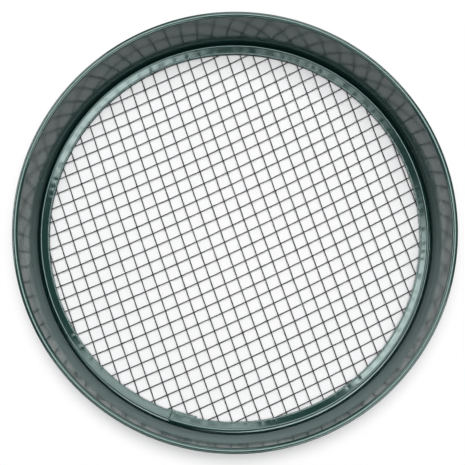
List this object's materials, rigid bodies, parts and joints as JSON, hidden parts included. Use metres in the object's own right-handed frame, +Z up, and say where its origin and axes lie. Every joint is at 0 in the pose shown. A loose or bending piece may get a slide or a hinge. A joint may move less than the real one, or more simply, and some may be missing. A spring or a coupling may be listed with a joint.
{
  "type": "soil sieve",
  "caption": "Round steel garden sieve: tapered hoop with a rolled rim, square wire mesh on its bottom flange, held by a clamp ring.",
  "frame": {"origin": "centre of the hoop's bottom flange face, on the surface that the sieve stands on", "axes": "+Z up through the rim; +X and +Y lie in the base, with the weft wires 25.4 degrees from +X and the clamp ring's lap joint near -Y"},
  "size_m": [0.37, 0.37, 0.06],
  "materials": {
    "green_coat": "gloss dark green powder coat",
    "mesh_wire": "semi-gloss near-black green powder coat",
    "rim_wire": "drawn steel wire, hidden in the rim"
  },
  "bodies": {
    "root": {"hoop": "green_coat", "rim_wire": "rim_wire", "clamp_ring": "green_coat", "warp_wire_01": "mesh_wire", "warp_wire_02": "mesh_wire", "warp_wire_03": "mesh_wire", "warp_wire_04": "mesh_wire", "warp_wire_05": "mesh_wire", "warp_wire_06": "mesh_wire", "warp_wire_07": "mesh_wire", "warp_wire_08": "mesh_wire", "warp_wire_09": "mesh_wire", "warp_wire_10": "mesh_wire", "warp_wire_11": "mesh_wire", "warp_wire_12": "mesh_wire", "warp_wire_13": "mesh_wire", "warp_wire_14": "mesh_wire", "warp_wire_15": "mesh_wire", "warp_wire_16": "mesh_wire", "warp_wire_17": "mesh_wire", "warp_wire_18": "mesh_wire", "warp_wire_19": "mesh_wire", "warp_wire_20": "mesh_wire", "warp_wire_21": "mesh_wire", "warp_wire_22": "mesh_wire", "warp_wire_23": "mesh_wire", "warp_wire_24": "mesh_wire", "warp_wire_25": "mesh_wire", "warp_wire_26": "mesh_wire", "warp_wire_27": "mesh_wire", "warp_edge_wires": "mesh_wire", "weft_wire_01": "mesh_wire", "weft_wire_02": "mesh_wire", "weft_wire_03": "mesh_wire", "weft_wire_04": "mesh_wire", "weft_wire_05": "mesh_wire", "weft_wire_06": "mesh_wire", "weft_wire_07": "mesh_wire", "weft_wire_08": "mesh_wire", "weft_wire_09": "mesh_wire", "weft_wire_10": "mesh_wire", "weft_wire_11": "mesh_wire", "weft_wire_12": "mesh_wire", "weft_wire_13": "mesh_wire", "weft_wire_14": "mesh_wire", "weft_wire_15": "mesh_wire", "weft_wire_16": "mesh_wire", "weft_wire_17": "mesh_wire", "weft_wire_18": "mesh_wire", "weft_wire_19": "mesh_wire", "weft_wire_20": "mesh_wire", "weft_wire_21": "mesh_wire", "weft_wire_22": "mesh_wire", "weft_wire_23": "mesh_wire", "weft_wire_24": "mesh_wire", "weft_wire_25": "mesh_wire", "weft_wire_26": "mesh_wire", "weft_wire_27": "mesh_wire", "weft_edge_wires": "mesh_wire"}
  },
  "joints": []
}
